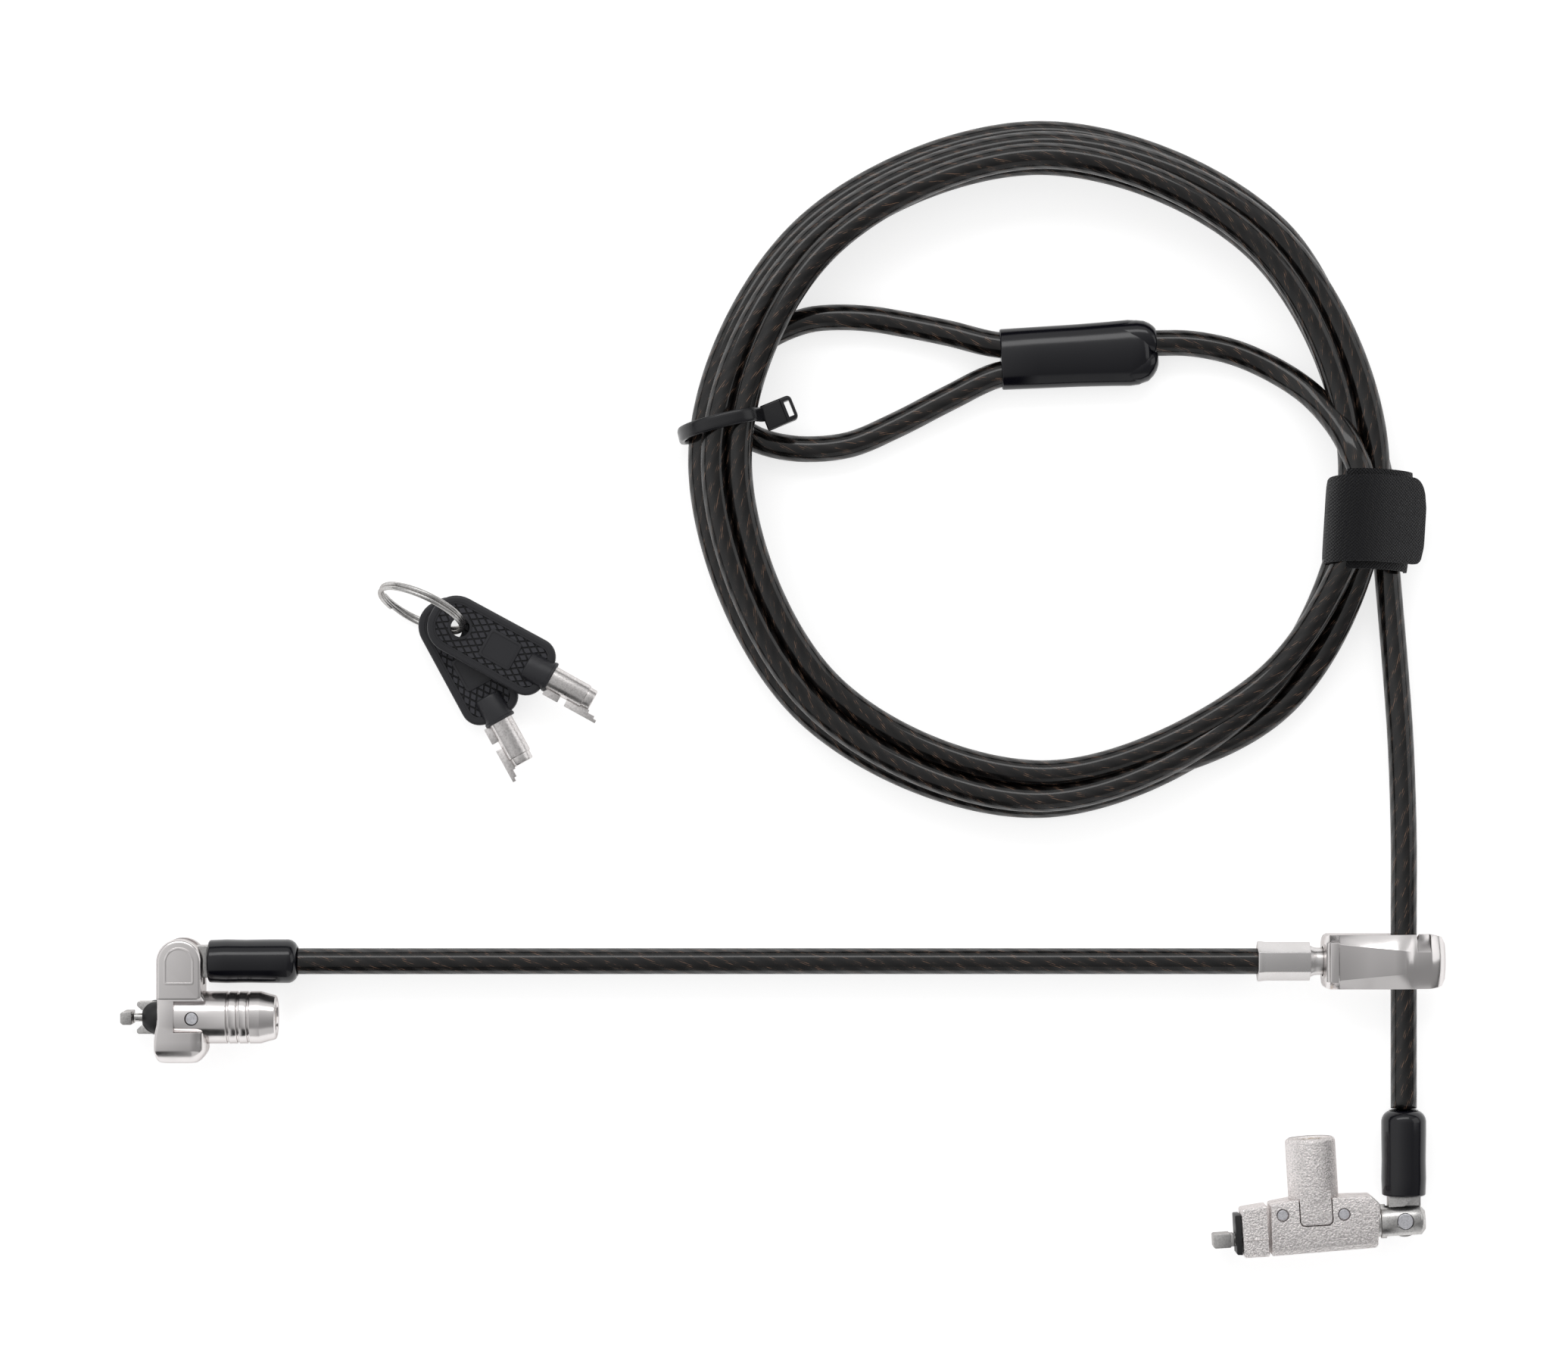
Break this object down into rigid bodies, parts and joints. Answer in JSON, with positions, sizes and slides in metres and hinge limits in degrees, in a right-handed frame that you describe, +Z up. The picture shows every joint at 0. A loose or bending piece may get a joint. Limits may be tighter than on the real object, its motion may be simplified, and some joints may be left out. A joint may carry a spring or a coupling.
{
  "type": "laptop cable lock",
  "caption": "Keyed security cable for a laptop: coiled steel cable with an end loop, a narrow blade lock, a sliding anchor with a short link cable and T-bar lock, and keys on a split ring.",
  "frame": {"origin": "on the surface, under the middle of the footprint of the hard parts (both lock heads, anchor and keys), cables and what is on them left out", "axes": "+Z up from the surface; +X from the T-bar lock along the link cable to the anchor; +Y along the main cable's straight part towards the coil"},
  "size_m": [0.2534, 0.2176, 0.0174],
  "materials": {
    "bright_nickel": "polished nickel plate on a casting, mirror bright with faint waviness",
    "satin_nickel": "sand-blasted nickel plate, fine grain, bright worn edges",
    "steel": "plain turned or punched steel, semi-bright",
    "brass": "machined brass, dull",
    "crimp_aluminium": "pressed aluminium, satin with die marks",
    "cable_sheath": "smoked clear sheath over a twisted steel strand, glossy, brown glints",
    "black_vinyl": "dipped vinyl, high gloss, soft rounded ends",
    "black_rubber": "matte moulded rubber",
    "moulded_plastic": "black moulded plastic with a sunk diamond-cut panel",
    "black_nylon": "semi-gloss nylon",
    "black_webbing": "woven nylon hook-and-loop tape, matte with fine ribs"
  },
  "bodies": {
    "cable": {"main_cable_coil": "cable_sheath", "main_cable_straight": "cable_sheath", "main_cable_tail": "cable_sheath", "main_cable_loop_upper": "cable_sheath", "main_cable_loop_lower": "cable_sheath", "hook_loop_strap": "black_webbing", "lock2_boot": "black_vinyl", "lock2_cable_eye": "steel", "loop_sleeve": "black_vinyl", "loop_ferrule": "crimp_aluminium", "zip_tie_band": "black_nylon", "zip_tie_head": "black_nylon"},
    "anchor": {"slider_ring": "bright_nickel"},
    "link": {"slider_ferrule": "crimp_aluminium", "lock1_boot": "black_vinyl", "lock1_cable_eye": "steel", "link_cable": "cable_sheath"},
    "arm_1": {"lock1_arm": "bright_nickel", "lock1_pivot_pin": "steel"},
    "barrel_1": {"lock1_barrel": "bright_nickel", "lock1_retaining_pin": "steel", "lock1_core_sleeve": "brass", "lock1_prong_plate": "steel", "lock1_rubber_bumper": "black_rubber"},
    "tbar_1": {"lock1_tbar": "steel", "lock1_rotor": "brass"},
    "swivel_2": {"lock2_swivel_barrel": "steel", "lock2_pivot_pin": "steel"},
    "case_2": {"lock2_case_front": "satin_nickel", "lock2_case_back": "satin_nickel", "lock2_key_tower": "satin_nickel", "lock2_core_sleeve": "brass", "lock2_nose": "satin_nickel", "lock2_rubber_pad": "black_rubber", "lock2_rivet_left": "steel", "lock2_rivet_right": "steel"},
    "rotor_2": {"lock2_rotor": "brass", "lock2_driver_cam": "steel"},
    "blade_2": {"lock2_blade": "steel"},
    "key_ring": {"split_ring": "steel"},
    "key_a": {"key_a_bow": "moulded_plastic", "key_a_barrel": "steel"},
    "key_b": {"key_b_bow": "moulded_plastic", "key_b_barrel": "steel"}
  },
  "joints": [
    {"name": "anchor_slide", "type": "slide", "parent": "cable", "child": "anchor", "axis": [0, 1, 0], "range_m": [-0.02, 0.02]},
    {"name": "link_swivel", "type": "hinge", "parent": "anchor", "child": "link", "pos_m": [0.10095, -0.0082, 0.0054], "axis": [1, 0, 0], "continuous": true},
    {"name": "lock1_arm_pivot", "type": "hinge", "parent": "link", "child": "arm_1", "pos_m": [-0.11525, -0.0082, 0.0054], "axis": [0, 0, 1], "range_deg": [-180, 0]},
    {"name": "lock1_barrel_swivel", "type": "hinge", "parent": "arm_1", "child": "barrel_1", "pos_m": [-0.11005, -0.01892, 0.0054], "axis": [1, 0, 0], "continuous": true},
    {"name": "lock1_key_turn", "type": "hinge", "parent": "barrel_1", "child": "tbar_1", "pos_m": [-0.11005, -0.01892, 0.0054], "axis": [1, 0, 0], "range_deg": [0, 90]},
    {"name": "lock2_pivot", "type": "hinge", "parent": "cable", "child": "swivel_2", "pos_m": [0.11865, -0.0577, 0.0054], "axis": [0, 0, 1], "range_deg": [0, 170]},
    {"name": "lock2_swivel", "type": "hinge", "parent": "swivel_2", "child": "case_2", "pos_m": [0.11865, -0.0577, 0.0054], "axis": [0.9981, 0.061, 0], "continuous": true},
    {"name": "lock2_key_turn", "type": "hinge", "parent": "case_2", "child": "rotor_2", "pos_m": [0.10107, -0.04876, 0.0054], "axis": [-0.061, 0.9981, 0], "range_deg": [0, 90]},
    {"name": "lock2_blade_turn", "type": "hinge", "parent": "case_2", "child": "blade_2", "pos_m": [0.08881, -0.06123, 0.0054], "axis": [0.9981, 0.061, 0], "range_deg": [0, 90]},
    {"name": "keys_lift", "type": "slide", "parent": "cable", "child": "key_ring", "axis": [0, 0, 1], "range_m": [0, 0.06]},
    {"name": "key_a_turn", "type": "hinge", "parent": "key_ring", "child": "key_a", "pos_m": [-0.06185, 0.0557, 0.0066], "axis": [0, 0, 1], "range_deg": [0, 70]},
    {"name": "key_b_turn", "type": "hinge", "parent": "key_ring", "child": "key_b", "pos_m": [-0.06395, 0.0552, 0.0036], "axis": [0, 0, 1], "range_deg": [-70, 0]}
  ],
  "couplings": [
    {"joint": "lock2_blade_turn", "follows": "lock2_key_turn", "ratio": 1}
  ]
}
